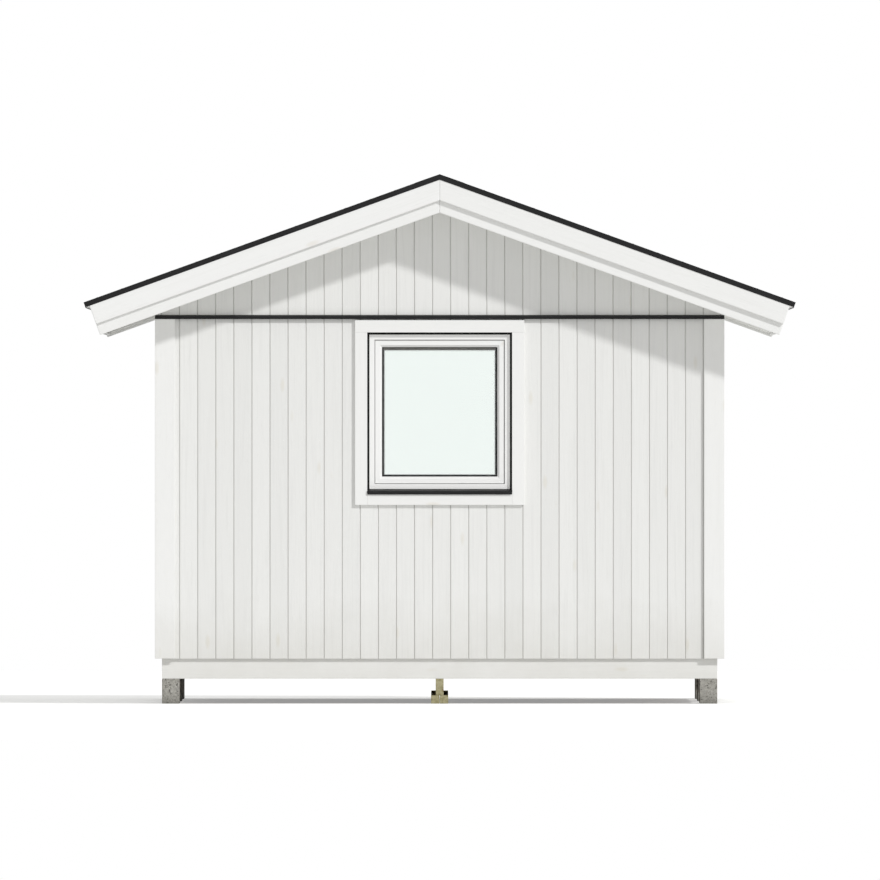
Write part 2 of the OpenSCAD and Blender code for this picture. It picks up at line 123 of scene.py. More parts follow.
def board_parts(tree):
    """A board's fine grain, broad figure, knots, own tone, and its depth in a joint, each from 0 to 1.

    The grain attribute runs along the board first, so noise squeezed along that axis draws long streaks:
    fine ones 110 mm by 2.4 mm and broad ones 450 mm by 18 mm. Knots are up to 100 mm by 32 mm.
    """
    own = add(tree, "Attribute", None, "Vector", attribute_name="grain")
    fine = add(tree, "VectorMath", {0: own, 1: (9, 420, 420)}, operation="MULTIPLY")
    fine = add(tree, "TexNoise", {"Vector": fine, "Scale": 1.0, "Detail": 3.0, "Roughness": 0.6})
    broad = add(tree, "VectorMath", {0: own, 1: (2.2, 55, 55)}, operation="MULTIPLY")
    broad = add(tree, "TexNoise", {"Vector": broad, "Scale": 1.0, "Detail": 2.0, "Distortion": 0.6})
    cell = add(tree, "VectorMath", {0: own, 1: (2.6, 8, 8)}, operation="MULTIPLY")
    cell = add(tree, "TexVoronoi", {"Vector": cell, "Scale": 1.0, "Randomness": 1.0})
    knot = add(tree, "MapRange", {"Value": cell, "From Min": 0.13, "From Max": 0.05})
    tone = add(tree, "Attribute", None, "Fac", attribute_name="tone")
    hollow = add(tree, "Attribute", None, "Fac", attribute_name="hollow")
    return fine, broad, knot, tone, hollow


def painted_softwood(name, paint, shade, rough, relief):
    """White oil paint brushed on softwood: the grain and a few knots just show through as soft relief.

    The joints between the boards are darker the deeper in: painted shade, with some dirt.
    Dirt also settles low on the wall.
    """
    made, tree, shader = finish(name, Specular_IOR_Level=0.42)
    fine, broad, knot, tone, hollow = board_parts(tree)
    place = add(tree, "TexCoord", None, "Object")
    worn = add(tree, "TexNoise", {"Vector": place, "Scale": 3.1, "Detail": 5.0, "Roughness": 0.62})
    height = add(tree, "SeparateXYZ", {0: place}, "Z")
    ragged = add(tree, "Math", {0: worn, 1: 0.5, 2: height}, operation="MULTIPLY_ADD")
    # the last layer paints shade into the V joints, darker the deeper in, with some dirt
    colour = layered(tree, paint, (tone, -0.3, 1.9, 1.0, shade), (broad, 0.5, 0.95, 1.0, shade),
                     (fine, 0.62, 0.95, 1.0, "#d4d4d0"), (knot, 0.0, 1.0, 0.2, "#cfc3a4"),
                     (ragged, 0.86, 0.34, 0.3, "#b9b5a8"), (hollow, 0.1, 1.0, 0.5, "#8f8e88"))
    gloss = add(tree, "MapRange", {"Value": worn, "To Min": rough - 0.08, "To Max": rough + 0.1})
    lines = add(tree, "Math", {0: fine, 1: broad}, operation="ADD")
    lines = add(tree, "Math", {0: knot, 1: 1.2, 2: lines}, operation="MULTIPLY_ADD")
    link(tree, shader, Base_Color=colour, Roughness=gloss,
         Normal=add(tree, "Bump", {"Height": lines, "Distance": relief}))
    return made


def bare_softwood(name, early, late, rough, relief):
    """Planed pine or spruce: pale early wood with darker late wood streaks and brown knots."""
    made, tree, shader = finish(name, Specular_IOR_Level=0.4, Roughness=rough)
    fine, broad, knot, tone, hollow = board_parts(tree)
    # the last layer paints shade into the joints between boards, darker the deeper in, with some dirt
    colour = layered(tree, early, (broad, 0.42, 0.66, 1.0, late), (fine, 0.45, 0.9, 1.0, late),
                     (tone, 0.0, 2.6, 1.0, late), (knot, 0.0, 1.0, 1.0, "#6e4526"),
                     (hollow, 0.1, 1.0, 0.6, "#4a3826"))
    lines = add(tree, "Math", {0: fine, 1: broad}, operation="ADD")
    link(tree, shader, Base_Color=colour, Normal=add(tree, "Bump", {"Height": lines, "Distance": relief}))
    return made


def slate_chip_felt():
    """Bitumen felt with pressed slate chips: near black, matt, with single lighter chips.

    Chips are about 1.2 mm; the speckle starts at 7 mm and goes down from there, because single chips
    vanish at this distance.
    """
    made, tree, shader = finish("slate_chip_bitumen_felt", ior=1.55, Roughness=0.92, Specular_IOR_Level=0.3)
    place = add(tree, "TexCoord", None, "Object")
    tone = add(tree, "Attribute", None, "Fac", attribute_name="tone")
    chips = add(tree, "TexNoise", {"Vector": place, "Scale": 1 / (7 * MM), "Detail": 4.0, "Roughness": 0.72})
    clouds = add(tree, "TexNoise", {"Vector": place, "Scale": 2.3, "Detail": 6.0})
    speckle = add(tree, "ValToRGB", {"Fac": chips}, stops=((0.34, "#141517"), (0.5, "#26282b"),
                                                           (0.6, "#333639"), (0.72, "#5c6063")))
    colour = layered(tree, speckle, (tone, 0.0, 1.5, 1.0, "#141518"), (clouds, 0.35, 1.2, 1.0, "#3d4042"))
    link(tree, shader, Base_Color=colour, Normal=add(tree, "Bump", {"Height": chips, "Distance": 1.2 * MM}))
    return made


def coated_black_steel():
    """Folded sheet steel with a black polyester coat: satin, faintly uneven, with a little dust."""
    made, tree, shader = finish("black_coated_steel", Specular_IOR_Level=0.3)
    place = add(tree, "TexCoord", None, "Object")
    dust = add(tree, "TexNoise", {"Vector": place, "Scale": 6.0, "Detail": 6.0})
    ripple = add(tree, "TexNoise", {"Vector": place, "Scale": 14.0, "Detail": 1.0})
    link(tree, shader, Base_Color=layered(tree, "#0a0a0b", (dust, 0.45, 1.2, 1.0, "#242527")),
         Roughness=add(tree, "MapRange", {"Value": dust, "To Min": 0.38, "To Max": 0.55}),
         Normal=add(tree, "Bump", {"Height": ripple, "Distance": 0.6 * MM}))
    return made


def aggregate_concrete():
    """Cast block of light aggregate: grey, gritty, with open pores, darker where it stands on the ground.

    Grit is about 7 mm, and pores lie about 11 mm apart.
    """
    made, tree, shader = finish("light_aggregate_concrete", Roughness=0.9, Specular_IOR_Level=0.3)
    place = add(tree, "TexCoord", None, "Object")
    grit = add(tree, "TexVoronoi", {"Vector": place, "Scale": 1 / (7 * MM)})
    pores = add(tree, "TexNoise", {"Vector": place, "Scale": 90.0, "Detail": 3.0})
    pores = add(tree, "MapRange", {"Value": pores, "From Min": 0.62, "From Max": 0.7})
    clouds = add(tree, "TexNoise", {"Vector": place, "Scale": 9.0, "Detail": 5.0})
    shade = add(tree, "SeparateColor", {0: grit.node.outputs["Color"]}, 1)
    greys = ((0.0, "#8d8b86"), (0.5, "#a5a39d"), (1.0, "#bab8b1"))
    grain = add(tree, "ValToRGB", {"Fac": shade}, stops=greys)
    height = add(tree, "SeparateXYZ", {0: place}, "Z")
    ragged = add(tree, "Math", {0: clouds, 1: 0.08, 2: height}, operation="MULTIPLY_ADD")
    colour = layered(tree, grain, (clouds, 0.3, 0.9, 1.0, "#8f8c84"), (pores, 0.0, 1.0, 1.0, "#5d5b57"),
                     (ragged, 0.1, 0.03, 0.55, "#6c6a63"))
    relief = add(tree, "Math", {0: grit, 1: pores}, operation="SUBTRACT")
    link(tree, shader, Base_Color=colour, Normal=add(tree, "Bump", {"Height": relief, "Distance": 1.6 * MM}))
    return made


def float_glass():
    """Clear float glass: hardly tinted, with a sharp reflection."""
    return finish("clear_float_glass", ior=1.45, Base_Color=linear("#fcfefd"), Roughness=0.0,
                  Transmission_Weight=1.0)[0]


def satin_steel():
    """Stainless steel, ground satin: soft streaks of 1 mm by 17 mm in the gloss, no colour."""
    made, tree, shader = finish("satin_stainless_steel", metallic=1.0, Base_Color=linear("#b9b8b4"))
    place = add(tree, "TexCoord", None, "Object")
    streaks = add(tree, "VectorMath", {0: place, 1: (900, 900, 60)}, operation="MULTIPLY")
    streaks = add(tree, "TexNoise", {"Vector": streaks, "Scale": 1.0})
    link(tree, shader, Roughness=add(tree, "MapRange", {"Value": streaks, "To Min": 0.24, "To Max": 0.42}),
         Normal=add(tree, "Bump", {"Height": streaks, "Distance": 0.05 * MM}))
    return made


def galvanised():
    """Hot-dip zinc on the spacers between panes: dull grey with faint spangle, 5 mm across."""
    made, tree, shader = finish("galvanised_steel", metallic=1.0, Roughness=0.48)
    place = add(tree, "TexCoord", None, "Object")
    spangle = add(tree, "TexVoronoi", {"Vector": place, "Scale": 1 / (5 * MM)}, "Color")
    shade = add(tree, "SeparateColor", {0: spangle})
    greys = ((0.0, "#8f9294"), (1.0, "#b3b6b8"))
    link(tree, shader, Base_Color=add(tree, "ValToRGB", {"Fac": shade}, stops=greys))
    return made


def seal_rubber():
    """Black EPDM sealing strip: deep black, dull."""
    made, tree, shader = finish("black_seal_rubber", Roughness=0.72, Specular_IOR_Level=0.3)
    place = add(tree, "TexCoord", None, "Object")
    bloom = add(tree, "TexNoise", {"Vector": place, "Scale": 40.0, "Detail": 3.0})
    link(tree, shader, Base_Color=layered(tree, "#0d0d0e", (bloom, 0.3, 1.2, 1.0, "#242426")))
    return made


def pale_floor():
    """Seamless pale studio floor: seen straight it is as white as the background, and keeps its shadows."""
    made, tree, shader = finish("pale_studio_floor", Base_Color=linear("#e9e9e7"), Roughness=0.9)
    camera_ray = add(tree, "LightPath", None, "Is Camera Ray")
    passed_ray = camera_ray.node.outputs["Is Transmission Ray"]
    seen = add(tree, "Math", {0: camera_ray, 1: passed_ray}, operation="MAXIMUM")
    glow = add(tree, "Emission", {"Color": "#ffffff", "Strength": 0.3})
    lifted = add(tree, "AddShader", {0: shader.outputs[0], 1: glow})
    mixed = add(tree, "MixShader", {0: seen, 1: shader.outputs[0], 2: lifted})
    tree.links.new(mixed, tree.nodes["Material Output"].inputs["Surface"])
    return made


cladding_paint = painted_softwood("white_oil_paint_on_cladding", "#efefed", "#e4e4e2", 0.55, 0.45 * MM)
trim_paint = painted_softwood("white_oil_paint_on_trim", "#f6f6f5", "#eeeeec", 0.48, 0.3 * MM)
joinery_paint = painted_softwood("white_factory_paint_on_joinery", "#f6f6f5", "#f1f1f0", 0.33, 0.12 * MM)
lining_paint = painted_softwood("white_wall_paint_on_lining", "#f4f4f1", "#ebebe7", 0.6, 0.2 * MM)
planed_pine = bare_softwood("planed_pine", "#e2c697", "#c79d63", 0.6, 0.3 * MM)
treated_pine = bare_softwood("pressure_treated_pine", "#b4ad8c", "#8b8461", 0.72, 0.4 * MM)
oiled_pine = bare_softwood("oiled_pine_floor", "#cfa268", "#a8773e", 0.38, 0.15 * MM)
felt = slate_chip_felt()
black_steel = coated_black_steel()
concrete = aggregate_concrete()
glass = float_glass()
steel = satin_steel()
zinc = galvanised()
rubber = seal_rubber()


# ---------------------------------------------------------------- meshes

def put(mesh, name, kind, values):
    """Writes an attribute with one number or vector for each point."""
    field = "vector" if kind == "FLOAT_VECTOR" else "value"
    mesh.attributes.new(name, kind, "POINT").data.foreach_set(field, np.asarray(values, np.float32).ravel())


def placed(mesh, body, replaces):
    """An object for a finished mesh, riding on a body and standing for its CAD nodes."""
    piece = bpy.data.objects.new(mesh.name, mesh)
    bpy.context.scene.collection.objects.link(piece)
    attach(piece, body)
    if replaces:
        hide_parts(*replaces)
    return piece


def mesh_piece(name, points, faces, material, body="cabin", replaces=(), grain=None, tones=None):
    """A piece from its points and faces, riding on a body, with its own grain coordinates and tones."""
    mesh = bpy.data.meshes.new(name)
    mesh.from_pydata(np.asarray(points, float).tolist(), [], faces)
    mesh.materials.append(material)
    if grain is not None:
        put(mesh, "grain", "FLOAT_VECTOR", grain)
        put(mesh, "tone", "FLOAT", tones)
    outward(mesh)
    mesh.shade_flat()
    return placed(mesh, body, replaces)


def repaint(node, material):
    """Gives its material to a CAD node that is shown as it is."""
    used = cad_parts[node].data.materials
    used.clear()
    used.append(material)


def flat(height):
    """A level top for wall boards, the same height all along the wall."""
    return lambda a: np.full(np.shape(a), height)


def tube(rings, per, start=0):
    """Faces of a stack of rings: quads from each ring to the next, and one face over each end."""
    index = start + np.arange(rings * per).reshape(rings, per)
    after = np.roll(index, -1, 1)
    sides = np.stack([index[:-1], after[:-1], after[1:], index[1:]], -1).reshape(-1, 4)
    return sides.tolist() + [index[0, ::-1].tolist(), index[-1].tolist()]


def outward(mesh):
    """Turns every face of closed shells outwards."""
    work = bmesh.new()
    work.from_mesh(mesh)
    bmesh.ops.recalc_face_normals(work, faces=work.faces)
    work.to_mesh(mesh)
    work.free()


def solids_of(node):
    """A CAD node's loose triangles merged into a bmesh, and the points of each of its separate solids."""
    work = bmesh.new()
    work.from_mesh(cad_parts[node].data)
    bmesh.ops.remove_doubles(work, verts=work.verts, dist=0.02 * MM)
    bmesh.ops.dissolve_limit(work, angle_limit=math.radians(1), verts=work.verts, edges=work.edges)
    seen, groups = set(), []
    for start in work.verts:
        if start in seen:
            continue
        group, front = [], [start]
        seen.add(start)
        while front:
            vert = front.pop()
            group.append(vert)
            for edge in vert.link_edges:
                other = edge.other_vert(vert)
                if other not in seen:
                    seen.add(other)
                    front.append(other)
        groups.append(group)
    return work, groups


def solid_boxes(node):
    """Lowest and highest corner of each solid of a CAD node."""
    work, groups = solids_of(node)
    boxes = []
    for group in groups:
        co = np.array([v.co for v in group])
        boxes.append((co.min(0), co.max(0)))
    work.free()
    return boxes


def own_axes(points):
    """Axes of one board: its longest direction first, from the spread of its corners."""
    spread = points - points.mean(0)
    _, _, axes = np.linalg.svd(spread, full_matrices=False)
    return axes


def softened(node, material, edge, segments=2, body="cabin"):
    """A copy of a CAD node with eased edges, and grain that runs along each of its boards."""
    work, groups = solids_of(node)
    sharp = [e for e in work.edges if len(e.link_faces) == 2 and e.calc_face_angle(0) > math.radians(25)]
    bmesh.ops.bevel(work, geom=sharp, offset=edge, offset_type="OFFSET", segments=segments, profile=0.6,
                    affect="EDGES", clamp_overlap=True)
    bmesh.ops.triangulate(work, faces=[f for f in work.faces if len(f.verts) > 4])
    mesh = bpy.data.meshes.new(node + "_finished")
    work.to_mesh(mesh)
    work.free()
    mesh.materials.append(material)
    grain, tones = board_coordinates(mesh)
    put(mesh, "grain", "FLOAT_VECTOR", grain)
    put(mesh, "tone", "FLOAT", tones)
    return placed(mesh, body, (node,))


def board_coordinates(mesh):
    """For every point: place along, across and through its own board, with an offset and a tone per board."""
    count = len(mesh.vertices)
    points = np.zeros(count * 3)
    mesh.vertices.foreach_get("co", points)
    points = points.reshape(-1, 3)
    label = np.arange(count)
    edges = np.zeros(len(mesh.edges) * 2, int)
    mesh.edges.foreach_get("vertices", edges)
    edges = edges.reshape(-1, 2)
    while True:
        lowest = np.minimum(label[edges[:, 0]], label[edges[:, 1]])
        new = label.copy()
        np.minimum.at(new, edges[:, 0], lowest)
        np.minimum.at(new, edges[:, 1], lowest)
        new = new[new]
        if (new == label).all():
            break
        label = new
    grain, tones = np.zeros((count, 3)), np.zeros(count)
    for board in np.unique(label):
        mine = label == board
        centred = points[mine] - points[mine].mean(0)
        grain[mine] = centred @ own_axes(points[mine]).T + rng.uniform(0, OFFSETS, 3)
        tones[mine] = rng.uniform()
    return grain, tones


class Wall:
    """A wall's own frame: u runs right as seen from outside, depth runs inwards from its outer face."""

    def __init__(self, turn, face):
        self.turn, self.face = math.radians(turn), face

    def place(self, u, depth, z):
        """Points of the wall's frame in the cabin's frame: moved out to the face, then turned about Z."""
        out = depth - self.face
        c, s = math.cos(self.turn), math.sin(self.turn)
        return np.stack([c * u - s * out, s * u + c * out, np.broadcast_to(z, np.shape(u))], -1)

    def span(self, low, high):
        """A box of the cabin's frame as its lowest and highest (u, depth, z) in this wall's frame."""
        c, s = math.cos(self.turn), math.sin(self.turn)
        ends = [(c * x + s * y, -s * x + c * y + self.face, z) for x, y, z in (low, high)]
        return np.min(ends, 0), np.max(ends, 0)


def prisms(outlines, place, name, material, body="cabin", replaces=(), along=2, shown=(), clean=()):
    """Boards as prisms: each outline has its bottom ring and its top ring of (u, depth, z) points.

    Side faces join ring to ring, and the rings close the ends. Grain runs along z of the outline,
    with a random offset and tone for each board number. The hollow attribute grows from 0 at the
    depths of the shown faces to 1 at the bottom of a V joint. At the clean places across it stays 0,
    where a board ends in the open and has no neighbour.
    """
    points, faces, grain, tones, joints, start = [], [], [], [], [], 0
    for ring_low, ring_high, board in outlines:
        n = len(ring_low)
        local = np.concatenate([ring_low, ring_high])
        points.append(place(local[:, 0], local[:, 1], local[:, 2]))
        if shown:
            deep = np.min([np.abs(local[:, 1] - face) for face in shown], 0) / CLAD_V
            for edge in clean:
                deep[np.abs(local[:, 0] - edge) < 3 * MM] = 0
            joints.append(deep)
        own = np.random.default_rng(board + 77)
        order = [along] + [k for k in range(3) if k != along]
        grain.append(local[:, order] + own.uniform(0, OFFSETS, 3))
        tones.append(np.full(2 * n, own.uniform()))
        faces += tube(2, n, start)
        start += 2 * n
    piece = mesh_piece(name, np.concatenate(points), faces, material, body, replaces,
                       np.concatenate(grain), np.concatenate(tones))
    if shown:
        put(piece.data, "hollow", "FLOAT", np.minimum(np.concatenate(joints), 1))
    return piece


def board_ring(left, right, outer, inner, v, middle=None):
    """Cross-section of a matched board: flat face with a bevel of v at each edge, and a flat back."""
    middle = (left + right) / 2 if middle is None else middle
    toward = math.copysign(1, inner - outer)
    across = [left, left, left + v, middle, right - v, right, right, middle]
    depth = [inner, outer + toward * v, outer, outer, outer, outer + toward * v, inner, inner]
    return np.array(across), np.array(depth)


def matched_boards(low, high, first, pitch, v, outer, inner, bottom, top, holes=(), peak=None, number=0):
    """Rings of upright matched boards between low and high, cut round the holes.

    A hole is (left, right, bottom, top). top is a function of the place across, for a sloping cut.
    """
    narrowest = 8 * MM
    joints = first + pitch * np.arange(-2, 200)
    joints = [low, *joints[(joints > low + narrowest) & (joints < high - narrowest)], high]
    outlines = []
    for i, (left, right) in enumerate(zip(joints[:-1], joints[1:])):
        cuts = [(left, right, bottom, None)]
        for hole_left, hole_right, hole_low, hole_high in holes:
            if hole_right <= left or hole_left >= right:
                continue
            kept = []
            for a, b, z0, z1 in cuts:
                if hole_low > z0:
                    kept.append((a, b, z0, hole_low))
                if a < hole_left:
                    kept.append((a, hole_left, max(z0, hole_low), hole_high))
                if b > hole_right:
                    kept.append((hole_right, b, max(z0, hole_low), hole_high))
                kept.append((a, b, hole_high, z1))
            cuts = kept
        for a, b, z0, z1 in cuts:
            middle = peak if peak is not None and a < peak < b else None
            bevel = min(v, (b - a) / 3)
            across, depth = board_ring(a, b, outer, inner, bevel, middle)
            foot = np.stack([across, depth, np.full(8, z0)], 1)
            head_z = top(across) if z1 is None else np.full(8, z1)
            if (head_z - z0).max() < 3 * MM:
                continue
            head = np.stack([across, depth, np.maximum(head_z, z0 + 1 * MM)], 1)
            outlines.append((foot, head, number + i))
    return outlines


def moulding(name, wall, sides, profile, material, body="cabin", replaces=()):
    """A mitred rectangular frame: a closed profile of (inset, depth) points carried round each rectangle.

    Each rectangle is (left, right, bottom, top). Grain runs along each side of the frame.
    """
    profile = np.array(profile)
    n = len(profile)
    points, faces, grain, tones, start = [], [], [], [], 0
    for left, right, bottom, top in sides:
        corners = [(left, bottom, 1, 1), (right, bottom, -1, 1), (right, top, -1, -1), (left, top, 1, -1)]
        for k in range(4):
            offset = rng.uniform(0, OFFSETS, 3)
            shade = rng.uniform()
            for u, z, du, dz in (corners[k], corners[(k + 1) % 4]):
                across, up = u + du * profile[:, 0], z + dz * profile[:, 0]
                points.append(wall.place(across, profile[:, 1], up))
                run = across if k % 2 == 0 else up
                grain.append(np.stack([run, profile[:, 0], profile[:, 1]], 1) + offset)
                tones.append(np.full(n, shade))
            faces += tube(2, n, start)
            start += 2 * n
    return mesh_piece(name, np.concatenate(points), faces, material, body, replaces,
                      np.concatenate(grain), np.concatenate(tones))


def eased(points, radius, steps=3):
    """A closed outline with each corner rounded: a circle arc that touches both of its sides."""
    points = np.array(points, float)
    out = []
    for i, corner in enumerate(points):
        before, after = points[i - 1] - corner, points[(i + 1) % len(points)] - corner
        r = min(radius, 0.45 * np.linalg.norm(before), 0.45 * np.linalg.norm(after))
        start = corner + before / np.linalg.norm(before) * r
        end = corner + after / np.linalg.norm(after) * r
        t = np.linspace(0, 1, steps + 1)[:, None]
        out.append((1 - t) ** 2 * start + 2 * t * (1 - t) * corner + t ** 2 * end)
    return np.concatenate(out)


def heads(name, centres, normals, radius, height, material, body="cabin", sides=8):
    """Nail or screw heads: a low dome of two rings and a centre, standing on each centre along its normal."""
    centres, normals = np.asarray(centres, float), np.asarray(normals, float)
    helper = np.where(np.abs(normals[:, 2:3]) > 0.9, [[1.0, 0, 0]], [[0, 0, 1.0]])
    a = np.cross(normals, helper)
    a /= np.linalg.norm(a, axis=1, keepdims=True)
    b = np.cross(normals, a)
    turn = np.linspace(0, 2 * np.pi, sides, endpoint=False)
    rings = []
    for r, h in ((radius, -0.4 * height), (radius, 0.45 * height), (0.62 * radius, height)):
        offset = r * (np.cos(turn)[None, :, None] * a[:, None] + np.sin(turn)[None, :, None] * b[:, None])
        rings.append(centres[:, None] + offset + h * normals[:, None])
    points = np.stack(rings, 1)
    every = [face for k in range(len(centres)) for face in tube(3, sides, 3 * sides * k)]
    return mesh_piece(name, points.reshape(-1, 3), every, material, body)


# ---------------------------------------------------------------- places, all from the frame

front_low, front_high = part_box("front_cladding")
right_low, right_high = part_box("right_cladding")
core_y = -front_high.y
core_x = right_low.x
wall_low, wall_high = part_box("front_wall")
wall_t = wall_high.y - wall_low.y
floor_low, floor_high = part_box("floor_boards")
corner_low, corner_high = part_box("gable_corner_boards")
strip_low, strip_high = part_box("gable_drip_strips")

WALLS = {
    "front": Wall(0, core_y),
    "back": Wall(180, core_y),
    "left": Wall(-90, core_x),
    "right": Wall(90, core_x),
}


def roof_slope():
    """Pitch of the roof, from the normal of the largest upward face of one slope."""
    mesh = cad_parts["roofing_right"].data
    best = max(mesh.polygons, key=lambda p: p.area if p.normal.z > 0.5 else 0)
    return math.atan2(best.normal.x, best.normal.z)


PITCH = roof_slope()
RIDGE_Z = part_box("ridge_cap")[1].z
felt_low, felt_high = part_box("roofing_right")
panel_low, panel_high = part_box("roof_panel_right")


def depth_at_ridge(z):
    """Depth square to the slope, below the roof's top, of a layer whose ridge is at height z."""
    return (RIDGE_Z - z) * math.cos(PITCH)


FELT_TOP = depth_at_ridge(felt_high.z)
PANEL_TOP = depth_at_ridge(panel_high.z)
SHEET_L = (felt_high.x + FELT_TOP * math.sin(PITCH)) / math.cos(PITCH)
BOARDS_TOP = (RIDGE_Z - felt_low.z - SHEET_L * math.sin(PITCH)) / math.cos(PITCH)
PANEL_L = (panel_high.x + PANEL_TOP * math.sin(PITCH)) / math.cos(PITCH)
SOFFIT = (RIDGE_Z - panel_low.z - PANEL_L * math.sin(PITCH)) / math.cos(PITCH)


def slope_place(side):
    """A function that puts (slope length, depth, y) into the cabin's frame on one slope."""
    def place(s, depth, y):
        x = s * math.cos(PITCH) - depth * math.sin(PITCH)
        z = RIDGE_Z - s * math.sin(PITCH) - depth * math.cos(PITCH)
        return np.stack([side * x, np.broadcast_to(y, np.shape(x)), z], -1)
    return place


def roof_under(across):
    """Height over a gable wall of the roof's underside, less the air below it."""
    return RIDGE_Z - np.abs(across) * math.tan(PITCH) - SOFFIT / math.cos(PITCH) - AIR


def openings_in(wall):
    """Window frames and the door frame in one wall, as (left, right, bottom, top) in the wall's frame."""
    found = []
    for node in ("window_frames", "door_frame"):
        for low, high in solid_boxes(node):
            near, far = wall.span(low, high)
            if -30 * MM < near[1] and far[1] < wall_t + 30 * MM and far[1] - near[1] < far[0] - near[0]:
                found.append((node, near[0], far[0], near[2], far[2]))
    return found


upright_boxes = solid_boxes("upright_trim_boards")
REVEAL = 0.0
for node, left, right, bottom, top in openings_in(WALLS["front"]):
    edges = [WALLS["front"].span(a, b) for a, b in upright_boxes]
    REVEAL = min(near[0] - right for near, far in edges if near[0] > right and far[1] < 0)
SILL = 20 * MM
STRIP_Z = corner_high.z     # underside of the drip strip, where the gable's corner boards end


# ---------------------------------------------------------------- walls

def cladding(side):
    """Upright matched boards on one wall, with V joints, cut round its openings and under the roof."""
    wall = WALLS[side]
    low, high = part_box(side + "_cladding")
    near, far = wall.span(low, high)
    holes = [(left - REVEAL, right + REVEAL, bottom - (SILL if node == "window_frames" else PAST_FLOOR),
              top + REVEAL) for node, left, right, bottom, top in openings_in(wall)]
    outer, inner = near[1], far[1]
    if side in ("front", "back"):
        first = corner_low.x + first_joint_offset()
        boards = matched_boards(near[0], far[0], first, BOARD, CLAD_V, outer, inner, near[2],
                                flat(STRIP_Z), holes)
        boards += matched_boards(near[0], far[0], first, BOARD, CLAD_V, outer, inner, strip_high.z,
                                 roof_under, (), 0.0)
    else:
        edge_top = RIDGE_Z - SOFFIT / math.cos(PITCH) - AIR
        first = near[0] + side_corner_width() + FIRST_JOINT
        boards = matched_boards(near[0], far[0], first, BOARD, CLAD_V, outer, inner, near[2],
                                flat(edge_top), holes, None, 300)
        for _, head, _ in boards:
            slope_top = edge_top - (core_x - head[:, 1]) * math.tan(PITCH)
            head[:, 2] = np.minimum(head[:, 2], slope_top)
    return prisms(boards, wall.place, side + "_cladding_boards", cladding_paint,
                  replaces=(side + "_cladding",), shown=(outer,))


def first_joint_offset():
    """First board joint right of the left corner board on a gable."""
    boxes = solid_boxes("gable_corner_boards")
    width = boxes[0][1][0] - boxes[0][0][0]
    return width + FIRST_JOINT


def side_corner_width():
    """Width of a corner board on a side wall."""
    low, high = solid_boxes("side_corner_boards")[0]
    return high[1] - low[1]


def lining(side):
    """Upright white boards on the inside of one wall, with their own small V joints."""
    wall = WALLS[side]
    half = (core_x if side in ("front", "back") else core_y) - wall_t
    holes = [(left, right, bottom - (PAST_FLOOR if node == "door_frame" else 0), top)
             for node, left, right, bottom, top in openings_in(wall)]
    outer, inner = wall_t + LINING, wall_t + 0.1 * MM
    if side in ("front", "back"):
        boards = matched_boards(-half, half, -half + 60 * MM, LINING_BOARD, 2 * MM, outer, inner,
                                floor_high.z, roof_under, holes, 0.0, 600)
    else:
        ceiling = RIDGE_Z - SOFFIT / math.cos(PITCH) - (core_x - wall_t - LINING) * math.tan(PITCH)
        reach = half - LINING
        boards = matched_boards(-reach, reach, -reach + 50 * MM, LINING_BOARD, 2 * MM, outer, inner,
                                floor_high.z, flat(ceiling), holes, None, 800)
        for _, head, _ in boards:
            whole = head[:, 2] > ceiling - 1 * MM
            slope_top = ceiling - (wall_t + LINING - head[:, 1]) * math.tan(PITCH)
            head[whole, 2] = slope_top[whole]
    return prisms(boards, wall.place, side + "_wall_lining", lining_paint, shown=(outer,))


for side_name in WALLS:
    cladding(side_name)
    lining(side_name)

for wall_node in ("front_wall", "back_wall", "right_wall", "left_wall", "left_wall_over_door"):
    repaint(wall_node, lining_paint)

for node_name, eased_edge in (
        ("gable_corner_boards", 2.5), ("side_corner_boards", 2.5), ("upright_trim_boards", 2.5),
        ("level_trim_boards", 2.5), ("fascia_boards", 2.5), ("floor_rim_ends", 2.0),
        ("floor_rim_sides", 2.0), ("inner_barge_left", 4.5), ("inner_barge_right", 4.5),
        ("outer_barge_left", 4.5), ("outer_barge_right", 4.5)):
    softened(node_name, trim_paint, eased_edge * MM)


# ---------------------------------------------------------------- floor and ground supports

def floor():
    """Pine floor boards along the room, each with a fine V at its edges."""
    low, high = floor_low, floor_high
    joints = np.append(np.arange(low.x, high.x - 30 * MM, FLOOR_BOARD), high.x)
    outlines = []
    for i, (a, b) in enumerate(zip(joints[:-1], joints[1:])):
        across, depth = board_ring(a, b, high.z, low.z, 1.2 * MM)
        ends = [np.stack([across, depth, np.full(8, y)], 1) for y in (low.y, high.y)]
        outlines.append((ends[0], ends[1], 1000 + i))
    return prisms(outlines, lambda u, d, y: np.stack([u, y, d], -1), "floor_boards_laid", oiled_pine,
                  replaces=("floor_boards",), shown=(high.z,))


floor()
softened("plinth_blocks", concrete, 4 * MM, 2)
softened("middle_bearer", treated_pine, 2 * MM, 1)
softened("bearer_sleepers", treated_pine, 3 * MM, 2)
softened("floor_joists", planed_pine, 2 * MM, 1)


# ---------------------------------------------------------------- roof

